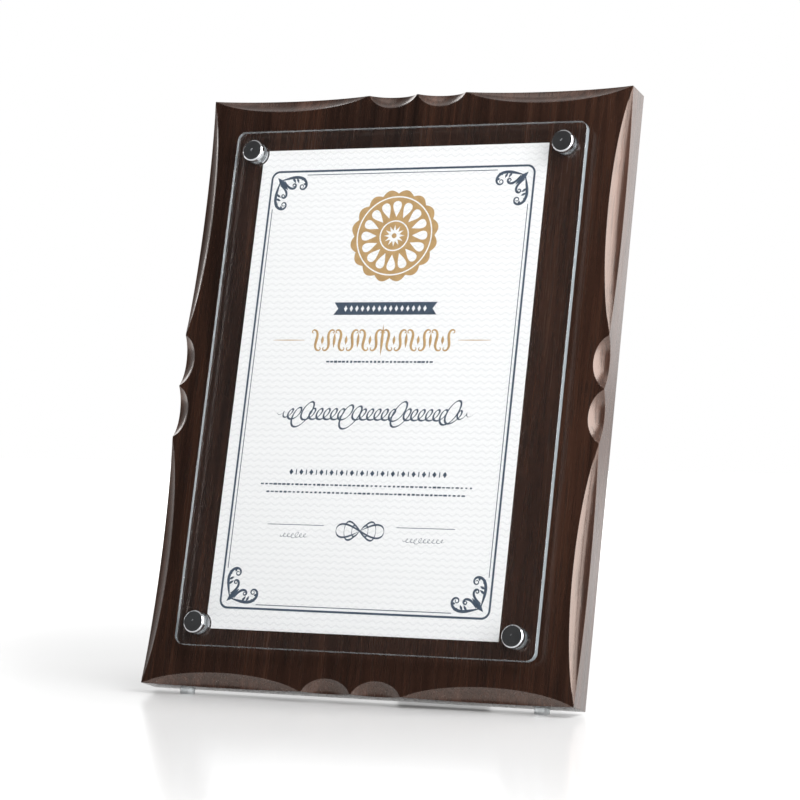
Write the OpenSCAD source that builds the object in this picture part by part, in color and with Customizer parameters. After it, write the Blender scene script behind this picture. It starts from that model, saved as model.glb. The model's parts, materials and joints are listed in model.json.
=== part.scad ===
// Leaning award plaque. A scalloped hardwood board carries a printed sheet behind a clear plate on four
// round stand-offs. A hinged strut behind it folds flat, and a keyhole plate hangs it on a wall.
// Z is up and the front faces -Y. The origin is at the centre of the footprint, on the table.

/* [Board] */
// Width of the board
board_w = 250; // [205:1:320]
// Height of the board, measured along its face
board_h = 330; // [270:1:420]
// Thickness of the board
board_t = 18; // [15:0.5:24]
// Lean back from upright, in degrees
lean = 15; // [13:1:20]
// Chamfer along the rear edges
rear_chamfer = 1; // [0.4:0.1:2]

/* [Scallops] */
// Length of each of the two short scallops in the middle of a side
short_scallop = 29; // [24:1:36]
// Reach of a scallop across the front face, at its deepest
scallop_face = 7.5; // [5:0.5:9]
// Reach of a scallop back along the side face, at its deepest
scallop_side = 4.5; // [3:0.5:6]
// Radius of the round cutter that makes the scallops
cutter_r = 9; // [8:0.5:12]
// Land left between two neighbouring scallops, and at the corners
scallop_land = 0.4; // [0.3:0.1:1]

/* [Clear plate and sheet] */
// Distance from the edge of the board to the edge of the plate
plate_margin = 21; // [16:1:30]
// Thickness of the plate
plate_t = 4; // [3:0.5:6]
// Corner radius of the plate
plate_r = 5; // [2:0.5:10]
// Width of the printed sheet
sheet_w = 170; // [120:1:200]
// Height of the printed sheet
sheet_h = 268; // [200:1:290]
// Thickness of the printed sheet
sheet_t = 0.3; // [0.2:0.05:0.5]
// How far the sheet sits to the left of the middle
sheet_shift = 3.7; // [0:0.1:6]

/* [Stand-offs] */
// Distance from the edges of the plate to a stand-off's centre
standoff_inset = 12; // [10:0.5:18]
// Diameter of the caps and socket flanges
standoff_d = 12; // [10:0.5:16]
// Thickness of a cap
cap_t = 3; // [2.6:0.1:5]
// Chamfer round the face of a cap
cap_chamfer = 0.6; // [0.3:0.1:1]
// Thickness of the socket flange, which spaces the plate off the board
flange_t = 2.5; // [2:0.1:6]
// Length of the socket's shank in the board
shank_l = 10; // [8:0.5:12]
// Diameter of the shank
shank_d = 8; // [7:0.5:9]
// Thickness of a clear washer
washer_t = 0.5; // [0.3:0.1:1]
// Diameter of the studs
stud_d = 4; // [3:0.5:5]
// Length of stud in the socket when the cap is tight
stud_grip = 8.5; // [7:0.5:10]

/* [Strut and hinge] */
// Distance from the top edge of the board down to the hinge
hinge_drop = 115; // [95:1:140]
// Width of the hinge
hinge_w = 36; // [30:1:50]
// Height of each hinge leaf
leaf_h = 24; // [22:1:30]
// Thickness of each hinge leaf
leaf_t = 1.2; // [1:0.1:1.6]
// Radius of the hinge knuckles
knuckle_r = 3; // [2.8:0.1:4]
// Diameter of the hinge pin
pin_d = 2.5; // [2:0.1:3]
// Thickness of the strut
leg_t = 4; // [3:0.1:4.2]
// Width of the strut at the hinge
leg_top_w = 42; // [38:1:56]
// Width of the strut at its foot
leg_foot_w = 56; // [40:1:80]
// Height of the rubber foot on the strut
foot_h = 6; // [4:0.5:10]

/* [Back and feet] */
// Thickness of the felt on the back
felt_t = 0.8; // [0.5:0.1:0.9]
// Distance from the edge of the board to the edge of the felt
felt_margin = 5; // [3:0.5:10]
// Thickness of the felt on the strut
leg_felt_t = 0.6; // [0.4:0.1:1]
// Distance from the top edge of the board to the middle of the keyhole plate
key_drop = 44; // [36:1:60]
// Diameter of the keyhole's entry
key_entry_d = 9; // [8:0.5:11]
// Width of the keyhole's slot
key_slot_w = 4.6; // [4:0.1:5.5]
// Thickness of the keyhole plate
key_t = 1.6; // [1.2:0.1:2.5]
// Diameter of the two feet under the board
pad_d = 8; // [6:0.5:12]
// Gap between the rear bottom edge and the table
pad_gap = 1.2; // [0.8:0.1:3]

/* [Hidden] */
$fn = 72;

// Clearances
run_gap = 0.05;      // round a stud or pin that turns or slides
snug_gap = 0.02;     // round a part that is pressed or screwed in
face_gap = 0.05;     // between two faces that meet at a stop
swing_gap = 0.4;     // between hinge pieces that pass each other
fold_gap = 0.3;      // between the folded strut and the felt
hole_gap = 0.6;      // round a stud in the plate
trim_gap = 0.5;      // between felt or paper and what it is cut round
end_gap = 1.5;       // between the folded foot and the bottom edge
over = 1;            // how far a cutter runs past a face

// Stand-offs, from the front face of the board (y = 0) forwards
plate_w = board_w - 2 * plate_margin;
plate_h = board_h - 2 * plate_margin;
plate_back = flange_t + washer_t;
cap_back = plate_back + plate_t + washer_t + face_gap;
cap_front = cap_back + cap_t;
cap_bore = 1.8;      // depth of the stud in the cap
mark_r = 1;          // dimple in the middle of a cap
mark_t = 0.35;
TOP_LEFT = [-1, 1];
TOP_RIGHT = [1, 1];
BOTTOM_LEFT = [-1, -1];
BOTTOM_RIGHT = [1, -1];
CORNERS = [TOP_LEFT, TOP_RIGHT, BOTTOM_LEFT, BOTTOM_RIGHT];
corner_x = plate_w / 2 - standoff_inset;
corner_z = plate_h / 2 - standoff_inset;

// Scallop cutter: part of a ring whose round section passes the front face and the side face at the two
// reaches. cut_u and cut_v are the section's centre, outwards from the side face and from the front face.
cut_chord = norm([scallop_face, scallop_side]);
cut_rise = sqrt(pow(cutter_r, 2) - pow(cut_chord / 2, 2));
cut_u = -scallop_face / 2 + cut_rise * scallop_side / cut_chord;
cut_v = -scallop_side / 2 + cut_rise * scallop_face / cut_chord;
ring_steps = 288;
cut_near = (cut_u + cut_v) / sqrt(2);
cut_far = sqrt(pow(cutter_r, 2) - pow((cut_u - cut_v) / sqrt(2), 2));
// Radius of the ring that runs out at the edge, half a length to each side
function ring_r(half) = (pow(half, 2) / (cut_far - cut_near) - cut_near - cut_far) / 2;

// Hinge axis and strut, in the frame of the board. The folded strut clears the felt and the knuckles clear
// the board, whichever needs more room.
axis_off = max(leg_t + leaf_t + felt_t - knuckle_r, knuckle_r) + fold_gap;
axis_y = board_t + axis_off;
hinge_z = board_h - hinge_drop;
leaf_in = knuckle_r - leaf_t;
leg_in = leaf_in - leg_t;
leg_top = knuckle_r + 3 * swing_gap;
mid_knuckle = 16;
tab_w = 10;
screw_x = 12;
screw_near = 9;
screw_far = 19;
strut_len = hinge_z - end_gap;
axis_height = pad_gap + hinge_z * cos(lean) - axis_off * sin(lean);
strut_tilt = acos(axis_height / strut_len);
open_deg = lean + strut_tilt;
tab_len = (leaf_in * cos(open_deg) + axis_off - leaf_t - face_gap) / sin(open_deg);

// Screws and keyhole plate
screw_head_r = 2.7;
screw_head_t = 1.3;
screw_r = 1.4;
board_screw_l = 12;
leg_screw_l = leaf_t + leg_t - 0.6;
recess = [2.6, 0.6, 0.9];
key_w = 18;
key_h = 48;
key_screw_z = 18;
key_low = -5;
key_high = 6;
key_pocket_r = 6;
key_pocket_t = 9;
pad_x = board_w / 2 - 22;

// Footprint, so that the origin is in its middle
front_y = (corner_front_z() * sin(lean)) - (board_t + cap_front) * cos(lean);
foot_y = hinge_z * sin(lean) + axis_off * cos(lean) + axis_height * tan(strut_tilt)
    + (leaf_in + leg_felt_t) / cos(strut_tilt);
top_y = board_h * sin(lean);
mid_y = (front_y + max(foot_y, top_y)) / 2;
function corner_front_z() = board_h / 2 - corner_z - standoff_d / 2 + cap_chamfer;

// From the board's own frame (front face at y = 0, bottom edge at z = 0) to the leaning pose
module leaned() {
    translate([0, -mid_y, pad_gap]) rotate([-lean, 0, 0]) translate([0, -board_t, 0]) children();
}

// From the folded strut's frame, with the hinge axis at its origin, to the open strut
module opened() {
    leaned() translate([0, axis_y, hinge_z]) rotate([open_deg, 0, 0]) children();
}

// An outline in X and Z, from y to y + t
module slab(y, t) {
    translate([0, y + t, 0]) rotate([90, 0, 0]) linear_extrude(t) children();
}

// Something drawn along +Z, laid along +Y or -Y
module rearward(x, y, z) {
    translate([x, y, z]) rotate([-90, 0, 0]) children();
}

module forward(x, y, z) {
    translate([x, y, z]) rotate([90, 0, 0]) children();
}

module at_corner(c, y) {
    rearward(c[0] * corner_x, y, board_h / 2 + c[1] * corner_z) children();
}

module rounded_rect(w, h, r) {
    square([w - 2 * r, h], center = true);
    square([w, h - 2 * r], center = true);
    for (x = [-1, 1], y = [-1, 1]) translate([x * (w / 2 - r), y * (h / 2 - r)]) circle(r);
}

module stadium(r, low, high) {
    translate([0, low]) circle(r);
    translate([0, high]) circle(r);
    translate([-r, low]) square([2 * r, high - low]);
}

module above_table() {
    intersection() {
        children();
        translate([-board_w, -board_h, 0]) cube([2 * board_w, 2 * board_h, board_h]);
    }
}

// Countersunk screw, head at z = 0 and point along +Z
module screw(len) {
    difference() {
        union() {
            cylinder(h = screw_head_t, r1 = screw_head_r, r2 = screw_r);
            cylinder(h = len, r = screw_r);
        }
        for (a = [0, 90]) rotate([0, 0, a])
            translate([-recess[0] / 2, -recess[1] / 2, -over]) cube([recess[0], recess[1], over + recess[2]]);
    }
}

module screw_hole(len) {
    translate([0, 0, -snug_gap])
        cylinder(h = screw_head_t + snug_gap, r1 = screw_head_r + 2 * snug_gap, r2 = screw_r + snug_gap);
    translate([0, 0, -over]) cylinder(h = len + over + 0.5, r = screw_r + snug_gap);
}

module washer(c, y) {
    at_corner(c, y) difference() {
        cylinder(h = washer_t, d = standoff_d - 1);
        translate([0, 0, -over]) cylinder(h = washer_t + 2 * over, r = stud_d / 2 + hole_gap / 2);
    }
}

// side 0 is the top, 1 the right, 2 the bottom and 3 the left, as seen from the front
module scallop(side, along, half) {
    ring = ring_r(half);
    out = ring / sqrt(2);
    reach = side % 2 == 0 ? board_h / 2 : board_w / 2;
    turn = acos((ring + cut_near) / (ring + cutter_r)) + 1;
    translate([0, 0, board_h / 2]) rotate([0, 90 * side, 0])
        translate([along, -cut_v - out, reach + cut_u + out]) rotate([-45, 0, 0]) rotate([0, 0, 90 - turn])
            rotate_extrude(angle = 2 * turn, $fn = ring_steps) translate([ring, 0]) circle(cutter_r);
}

module side_scallops(side) {
    side_half = (side % 2 == 0 ? board_w : board_h) / 2;
    long_half = (side_half - short_scallop) / 2;
    for (way = [-1, 1]) {
        scallop(side, way * short_scallop / 2, (short_scallop - scallop_land) / 2);
        scallop(side, way * (short_scallop + long_half), long_half - scallop_land);
    }
}

module board_blank() {
    side = rear_chamfer * sqrt(2);
    difference() {
        translate([-board_w / 2, 0, 0]) cube([board_w, board_t, board_h]);
        for (z = [0, board_h]) translate([0, board_t, z]) rotate([45, 0, 0])
            cube([board_w + 2 * over, side, side], center = true);
        for (x = [-1, 1]) translate([x * board_w / 2, board_t, board_h / 2]) rotate([0, 0, 45])
            cube([side, side, board_h + 2 * over], center = true);
    }
}

module board() {
    color("#33241d") leaned() difference() {
        board_blank();
        for (side = [0:3]) side_scallops(side);
        for (c = CORNERS) at_corner(c, -over) cylinder(h = shank_l + over + 1, d = shank_d + 2 * snug_gap);
        translate([0, 0, board_h - key_drop]) slab(board_t - key_pocket_t, key_pocket_t + over)
            stadium(key_pocket_r, key_low, key_high);
        for (z = [-1, 1])
            forward(0, board_t + key_t, board_h - key_drop + z * key_screw_z) screw_hole(board_screw_l);
        for (x = [-1, 1], z = [screw_near, screw_far])
            forward(x * screw_x, board_t + leaf_t, hinge_z + z) screw_hole(board_screw_l);
    }
}

module back_felt() {
    hinge_low = knuckle_r + leaf_h + swing_gap + trim_gap;
    color("#16171a") leaned() difference() {
        slab(board_t, felt_t) translate([0, board_h / 2])
            rounded_rect(board_w - 2 * felt_margin, board_h - 2 * felt_margin, 3);
        slab(board_t - over, felt_t + 2 * over) translate([0, board_h - key_drop])
            stadium(key_w / 2 + trim_gap, (key_w - key_h) / 2, (key_h - key_w) / 2);
        translate([-hinge_w / 2 - trim_gap, board_t - over, hinge_z - knuckle_r - 2 * trim_gap])
            cube([hinge_w + 2 * trim_gap, felt_t + 2 * over, hinge_low + trim_gap]);
    }
}

module certificate() {
    color("#f3f1ec") leaned() difference() {
        slab(-sheet_t, sheet_t) translate([-sheet_shift, board_h / 2]) square([sheet_w, sheet_h], center = true);
        for (c = CORNERS) at_corner(c, -sheet_t - over)
            cylinder(h = sheet_t + 2 * over, d = standoff_d + 2 * trim_gap);
    }
}

module acrylic_plate() {
    color("#dceef5", 0.4) leaned() difference() {
        slab(-plate_back - plate_t, plate_t) translate([0, board_h / 2]) rounded_rect(plate_w, plate_h, plate_r);
        for (c = CORNERS) at_corner(c, -plate_back - plate_t - over)
            cylinder(h = plate_t + 2 * over, d = stud_d + 2 * hole_gap);
    }
}

module socket(c) {
    color("silver") leaned() at_corner(c, -flange_t) difference() {
        union() {
            cylinder(h = flange_t, d = standoff_d);
            cylinder(h = flange_t + shank_l, d = shank_d);
        }
        translate([0, 0, -over]) cylinder(h = flange_t + shank_l + 2 * over, d = stud_d + 2 * run_gap);
    }
}

module rear_washer(c) {
    color("white", 0.5) leaned() washer(c, -plate_back);
}

module front_washer(c) {
    color("white", 0.5) leaned() washer(c, -plate_back - plate_t - washer_t);
}

module stud(c) {
    front = cap_back + cap_bore;
    color("silver") leaned() at_corner(c, -front) cylinder(h = front - flange_t + stud_grip, d = stud_d);
}

module cap(c) {
    color("#d8dadd") leaned() at_corner(c, -cap_front) difference() {
        union() {
            cylinder(h = cap_chamfer, d1 = standoff_d - 2 * cap_chamfer, d2 = standoff_d);
            translate([0, 0, cap_chamfer]) cylinder(h = cap_t - cap_chamfer, d = standoff_d);
        }
        translate([0, 0, cap_t - cap_bore - run_gap]) cylinder(h = cap_bore + over, d = stud_d + 2 * run_gap);
        translate([0, 0, -over]) cylinder(h = over + mark_t, r = mark_r);
    }
}

module keyhole_plate() {
    color("#c9c9c4") leaned() difference() {
        translate([0, 0, board_h - key_drop]) slab(board_t, key_t) difference() {
            stadium(key_w / 2, (key_w - key_h) / 2, (key_h - key_w) / 2);
            translate([0, key_low]) circle(key_entry_d / 2);
            stadium(key_slot_w / 2, key_low, key_high);
        }
        for (z = [-1, 1])
            forward(0, board_t + key_t, board_h - key_drop + z * key_screw_z) screw_hole(board_screw_l);
    }
}

module keyhole_screws() {
    color("#b8b8b4") leaned() for (z = [-1, 1])
        forward(0, board_t + key_t, board_h - key_drop + z * key_screw_z) screw(board_screw_l);
}

module knuckle(x, w, bore) {
    translate([x, 0, 0]) rotate([0, 90, 0]) difference() {
        cylinder(h = w, r = knuckle_r);
        translate([0, 0, -over]) cylinder(h = w + 2 * over, r = bore);
    }
}

module hinge_fixed_leaf() {
    side_w = (hinge_w - mid_knuckle) / 2 - swing_gap / 2;
    notch_w = mid_knuckle + swing_gap;
    color("#c4c5c8") leaned() translate([0, axis_y, hinge_z]) difference() {
        union() {
            translate([-hinge_w / 2, -axis_off, 0]) cube([hinge_w, leaf_t, leaf_h]);
            for (x = [-hinge_w / 2, hinge_w / 2 - side_w])
                translate([x, -axis_off, 0]) cube([side_w, axis_off - knuckle_r / 2, knuckle_r * 0.8]);
            for (x = [-hinge_w / 2, hinge_w / 2 - side_w]) translate([x, 0, 0]) rotate([0, 90, 0])
                cylinder(h = side_w, r = knuckle_r);
        }
        translate([-notch_w / 2, -axis_off - over, -over])
            cube([notch_w, leaf_t + 2 * over, knuckle_r + swing_gap + over]);
        translate([-hinge_w / 2 - over, 0, 0]) rotate([0, 90, 0])
            cylinder(h = hinge_w + 2 * over, r = pin_d / 2 + snug_gap);
        for (x = [-1, 1], z = [screw_near, screw_far])
            forward(x * screw_x, leaf_t - axis_off, z) screw_hole(board_screw_l);
    }
}

module hinge_fixed_screws() {
    color("#b8b8b4") leaned() for (x = [-1, 1], z = [screw_near, screw_far])
        forward(x * screw_x, board_t + leaf_t, hinge_z + z) screw(board_screw_l);
}

module hinge_pin() {
    pin_l = hinge_w + 1.2;
    color("#aeb0b4") leaned() translate([-pin_l / 2, axis_y, hinge_z]) rotate([0, 90, 0])
        cylinder(h = pin_l, d = pin_d);
}

module hinge_moving_leaf() {
    mid_w = mid_knuckle - swing_gap;
    clear_z = knuckle_r + swing_gap;
    color("#c4c5c8") opened() difference() {
        union() {
            knuckle(-mid_w / 2, mid_w, pin_d / 2 + run_gap);
            translate([-hinge_w / 2, leaf_in, -leaf_h]) cube([hinge_w, leaf_t, leaf_h - clear_z]);
            difference() {
                translate([-mid_w / 2, leaf_in, -clear_z - over]) cube([mid_w, leaf_t, clear_z + over]);
                translate([-mid_w, 0, 0]) rotate([0, 90, 0]) cylinder(h = 2 * mid_w, r = pin_d / 2 + run_gap);
            }
            translate([-tab_w / 2, leaf_in, 0]) cube([tab_w, leaf_t, tab_len]);
        }
        for (x = [-1, 1], z = [screw_near, screw_far])
            forward(x * screw_x, knuckle_r, -z) screw_hole(leg_screw_l);
    }
}

module hinge_moving_screws() {
    color("#b8b8b4") opened() for (x = [-1, 1], z = [screw_near, screw_far])
        forward(x * screw_x, knuckle_r, -z) screw(leg_screw_l);
}

// Tapered outline of the strut, from z = high down to z = low, narrower all round by inset
module leg_outline(high, low, inset) {
    slope = (leg_foot_w - leg_top_w) / 2 / (strut_len - leg_top);
    top = leg_top_w / 2 + slope * (-leg_top - high) - inset;
    foot = leg_top_w / 2 + slope * (-leg_top - low) - inset;
    nip = 5;
    polygon([[-foot, low], [foot, low], [top, high - nip], [top - nip, high], [nip - top, high], [-top, high - nip]]);
}

module strut_leg() {
    color("#1b1a1a") opened() difference() {
        slab(leg_in, leg_t) leg_outline(-leg_top, -(strut_len - foot_h), 0);
        for (x = [-1, 1], z = [screw_near, screw_far])
            forward(x * screw_x, knuckle_r, -z) screw_hole(leg_screw_l);
    }
}

module strut_felt() {
    color("#16171a") opened() difference() {
        slab(leaf_in, leg_felt_t) leg_outline(-leg_top - trim_gap, -(strut_len - foot_h), 1);
        translate([-hinge_w / 2 - trim_gap, leaf_in - over, -leaf_h - trim_gap])
            cube([hinge_w + 2 * trim_gap, leg_felt_t + 2 * over, leaf_h]);
    }
}

module strut_foot() {
    foot_w = leg_foot_w - 4;
    color("#101010") above_table() opened()
        translate([-foot_w / 2, leg_in, -strut_len - leg_t]) cube([foot_w, leg_t + leg_felt_t, foot_h + leg_t]);
}

module foot_pad(x) {
    color("white", 0.5) above_table() leaned()
        translate([x, board_t - rear_chamfer - pad_d / 2, -2 * pad_d]) cylinder(h = 2 * pad_d, d = pad_d);
}

board();
back_felt();
certificate();
acrylic_plate();
socket(TOP_LEFT);  // socket_top_left
socket(TOP_RIGHT);  // socket_top_right
socket(BOTTOM_LEFT);  // socket_bottom_left
socket(BOTTOM_RIGHT);  // socket_bottom_right
rear_washer(TOP_LEFT);  // rear_washer_top_left
rear_washer(TOP_RIGHT);  // rear_washer_top_right
rear_washer(BOTTOM_LEFT);  // rear_washer_bottom_left
rear_washer(BOTTOM_RIGHT);  // rear_washer_bottom_right
front_washer(TOP_LEFT);  // front_washer_top_left
front_washer(TOP_RIGHT);  // front_washer_top_right
front_washer(BOTTOM_LEFT);  // front_washer_bottom_left
front_washer(BOTTOM_RIGHT);  // front_washer_bottom_right
stud(TOP_LEFT);  // stud_top_left
stud(TOP_RIGHT);  // stud_top_right
stud(BOTTOM_LEFT);  // stud_bottom_left
stud(BOTTOM_RIGHT);  // stud_bottom_right
cap(TOP_LEFT);  // cap_top_left
cap(TOP_RIGHT);  // cap_top_right
cap(BOTTOM_LEFT);  // cap_bottom_left
cap(BOTTOM_RIGHT);  // cap_bottom_right
keyhole_plate();
keyhole_screws();
hinge_fixed_leaf();
hinge_fixed_screws();
hinge_pin();
hinge_moving_leaf();
hinge_moving_screws();
strut_leg();
strut_felt();
strut_foot();
foot_pad(-pad_x);  // foot_pad_left
foot_pad(pad_x);  // foot_pad_right
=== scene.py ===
import json
import math

import bmesh
import bpy
from mathutils import Matrix, Vector

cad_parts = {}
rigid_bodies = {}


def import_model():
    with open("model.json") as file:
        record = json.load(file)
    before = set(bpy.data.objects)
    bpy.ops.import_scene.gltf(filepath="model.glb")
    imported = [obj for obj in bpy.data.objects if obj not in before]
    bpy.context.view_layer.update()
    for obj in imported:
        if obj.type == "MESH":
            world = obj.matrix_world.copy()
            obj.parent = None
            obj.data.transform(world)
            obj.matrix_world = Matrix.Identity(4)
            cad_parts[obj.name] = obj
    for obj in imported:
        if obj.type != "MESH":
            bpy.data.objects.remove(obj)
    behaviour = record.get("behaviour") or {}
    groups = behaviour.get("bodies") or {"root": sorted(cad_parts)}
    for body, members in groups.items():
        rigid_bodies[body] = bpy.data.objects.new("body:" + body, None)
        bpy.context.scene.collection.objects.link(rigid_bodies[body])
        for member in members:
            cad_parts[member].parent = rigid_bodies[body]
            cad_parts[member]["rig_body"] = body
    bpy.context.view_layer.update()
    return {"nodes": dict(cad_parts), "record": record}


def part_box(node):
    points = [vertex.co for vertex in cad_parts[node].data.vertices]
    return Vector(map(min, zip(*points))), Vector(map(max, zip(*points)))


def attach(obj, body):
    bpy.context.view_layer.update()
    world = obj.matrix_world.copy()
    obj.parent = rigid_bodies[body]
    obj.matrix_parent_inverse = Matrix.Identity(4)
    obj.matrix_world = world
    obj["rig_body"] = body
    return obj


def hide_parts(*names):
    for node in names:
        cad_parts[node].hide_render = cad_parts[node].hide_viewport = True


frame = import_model()
nodes = frame["nodes"]
scene = bpy.context.scene
mm = 0.001
print("frame loaded:", len(nodes), "nodes")

# The board's own frame: x along its width, upWay along its face and outWay straight out of its front
backWay = Vector(next(m["axis"] for m in frame["record"]["mounts"] if m["name"] == "keyhole_hanger"))
outWay = -backWay
upWay = Vector((0, outWay.z, -outWay.y))
lean = math.asin(outWay.z)


def boxMiddle(node):
    low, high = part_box(node)
    return (low + high) / 2


def leaningSize(node, chamfer=0.0):  # height and thickness of a piece that leans with the board
    low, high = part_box(node)
    deep, tall = (high.y - low.y + chamfer * math.sin(lean)), (high.z - low.z + chamfer * math.sin(lean))
    share = math.cos(lean) ** 2 - math.sin(lean) ** 2
    height = (tall * math.cos(lean) - deep * math.sin(lean)) / share
    thick = (deep * math.cos(lean) - tall * math.sin(lean)) / share
    return height, thick


sheetThick = leaningSize("certificate")[1]
sheetMiddle = boxMiddle("certificate")
faceMiddle = Vector((0, sheetMiddle.y, sheetMiddle.z)) - outWay * sheetThick / 2


def facePlace():  # matrix from a flat drawing (x, up, out) to its place on the board
    columns = Matrix((Vector((1, 0, 0)), upWay, outWay)).transposed().to_4x4()
    return Matrix.Translation(faceMiddle) @ columns


# Camera

cameraSet = {
    "turn": math.radians(24.8),  # round to the board's right
    "tilt": math.radians(1.2),  # looking down
    "distance": 1.5306,
    "lens": 129.2,
    "slide": (0.0083, -0.0068),  # to the right and up, past the middle of the board
}


def makeCamera(s):
    turn, tilt = s["turn"], s["tilt"]
    ahead = Vector((-math.sin(turn) * math.cos(tilt), math.cos(turn) * math.cos(tilt), -math.sin(tilt)))
    right = Vector((math.cos(turn), math.sin(turn), 0))
    above = right.cross(ahead)
    data = bpy.data.cameras.new("plaqueCamera")
    data.lens = s["lens"]
    data.clip_end = 50
    camera = bpy.data.objects.new("plaqueCamera", data)
    scene.collection.objects.link(camera)
    spot = faceMiddle - ahead * s["distance"] + right * s["slide"][0] + above * s["slide"][1]
    camera.matrix_world = Matrix.Translation(spot) @ Matrix((right, above, -ahead)).transposed().to_4x4()
    scene.camera = camera


makeCamera(cameraSet)
print("camera placed")


# Material helpers

def newMaterial(name):
    material = bpy.data.materials.new(name)
    material.use_nodes = True
    shader = material.node_tree.nodes["Principled BSDF"]
    return material, material.node_tree, shader


def addNode(tree, kind, values=None, **settings):
    node = tree.nodes.new(kind)
    for key, value in settings.items():
        setattr(node, key, value)
    for key, value in (values or {}).items():
        socket = node.inputs[key]
        if isinstance(value, bpy.types.NodeSocket):
            tree.links.new(value, socket)
        else:
            socket.default_value = value
    return node


def boardCoordinates(tree, stretch=(1, 1, 1)):  # along the board: x across, z up the face
    place = addNode(tree, "ShaderNodeTexCoord")
    turn = addNode(tree, "ShaderNodeMapping", {"Vector": place.outputs["Object"], "Rotation": (lean, 0, 0)})
    return addNode(tree, "ShaderNodeMapping", {"Vector": turn.outputs[0], "Scale": stretch}).outputs[0]


def noise(tree, vector, scale, detail=3.0, rough=0.5, warp=0.0):
    values = {"Vector": vector, "Scale": scale, "Detail": detail, "Roughness": rough, "Distortion": warp}
    return addNode(tree, "ShaderNodeTexNoise", values).outputs["Fac"]


def ramp(tree, factor, stops):
    node = addNode(tree, "ShaderNodeValToRGB", {"Fac": factor})
    band = node.color_ramp
    while len(band.elements) < len(stops):
        band.elements.new(0.5)
    for element, (spot, colour) in zip(band.elements, stops):
        element.position = spot
        element.color = (*colour, 1)
    return node.outputs["Color"]


def span(tree, value, low, high, fromLow=0.0, fromHigh=1.0):
    values = {"Value": value, "From Min": fromLow, "From Max": fromHigh, "To Min": low, "To Max": high}
    return addNode(tree, "ShaderNodeMapRange", values).outputs[0]


def mixColours(tree, factor, first, second):
    values = {0: factor, 6: first, 7: second}
    return addNode(tree, "ShaderNodeMix", values, data_type="RGBA").outputs[2]


def calc(tree, operation, first, second=0.0, third=0.0):
    return addNode(tree, "ShaderNodeMath", {0: first, 1: second, 2: third}, operation=operation).outputs[0]


def wholeCalc(tree, operation, first, second):
    return addNode(tree, "FunctionNodeIntegerMath", {0: first, 1: second}, operation=operation).outputs[0]


def times(tree, first, second):
    return calc(tree, "MULTIPLY", first, second)


def plus(tree, first, second):
    return calc(tree, "ADD", first, second)


def minus(tree, first, second):
    return calc(tree, "SUBTRACT", first, second)


def over(tree, first, second):
    return calc(tree, "DIVIDE", first, second)


def bump(tree, height, distance, strength=1.0):
    values = {"Height": height, "Distance": distance, "Strength": strength}
    return addNode(tree, "ShaderNodeBump", values).outputs["Normal"]


def connect(tree, shader, links):
    for key, value in links.items():
        tree.links.new(value, shader.inputs[key])


# Geometry Nodes helpers: drawings are flat, in millimetres, with x across, y up the face and z out of it

def newTree(name, inputs):
    tree = bpy.data.node_groups.new(name, "GeometryNodeTree")
    tree.interface.new_socket("Geometry", in_out="INPUT", socket_type="NodeSocketGeometry")
    for title, value in inputs.items():
        kind = "Material" if isinstance(value, bpy.types.Material) else "Float"
        kind = "Int" if isinstance(value, int) else kind
        tree.interface.new_socket(title, in_out="INPUT", socket_type="NodeSocket" + kind)
    tree.interface.new_socket("Geometry", in_out="OUTPUT", socket_type="NodeSocketGeometry")
    return tree, tree.nodes.new("NodeGroupInput").outputs


def shape(tree, kind, values, **settings):  # the first output of a new geometry node
    return addNode(tree, "GeometryNode" + kind, values, **settings).outputs[0]


def joined(tree, pieces):
    node = tree.nodes.new("GeometryNodeJoinGeometry")
    for piece in pieces:
        tree.links.new(piece, node.inputs[0])
    return node.outputs[0]


def moved(tree, piece, spot=(0, 0, 0), turn=(0, 0, 0), size=(1, 1, 1)):
    values = {"Geometry": piece, "Translation": spot, "Rotation": turn, "Scale": size}
    return shape(tree, "Transform", values)


def position(tree):
    place = tree.nodes.new("GeometryNodeInputPosition").outputs[0]
    return addNode(tree, "ShaderNodeSeparateXYZ", {"Vector": place}).outputs


def vector(tree, x, y, z):
    return addNode(tree, "ShaderNodeCombineXYZ", {"X": x, "Y": y, "Z": z}).outputs[0]


def merged(tree, piece, distance=0.001):
    values = {"Geometry": piece, "Distance": distance}
    return shape(tree, "MergeByDistance", values)


def finishTree(tree, piece, material):
    whole = shape(tree, "RealizeInstances", {"Geometry": piece})
    whole = shape(tree, "SetMaterial", {"Geometry": whole, "Material": material})
    tree.links.new(whole, tree.nodes.new("NodeGroupOutput").inputs[0])


def grown(name, tree, values, seed=None):  # run a tree and keep its result as a plain mesh on the board
    holder = bpy.data.objects.new(name + "Seed", seed or bpy.data.meshes.new(name + "Seed"))
    scene.collection.objects.link(holder)
    grow = holder.modifiers.new("grow", "NODES")
    grow.node_group = tree
    for socket in tree.interface.items_tree:
        if socket.in_out == "INPUT" and socket.name in values:
            grow[socket.identifier] = values[socket.name]
    mesh = bpy.data.meshes.new_from_object(holder.evaluated_get(bpy.context.evaluated_depsgraph_get()))
    holder.modifiers.remove(grow)
    bpy.data.objects.remove(holder)
    mesh.name = name
    mesh.transform(facePlace() @ Matrix.Scale(mm, 4))
    return mesh


# Dark stained walnut under satin lacquer

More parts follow.
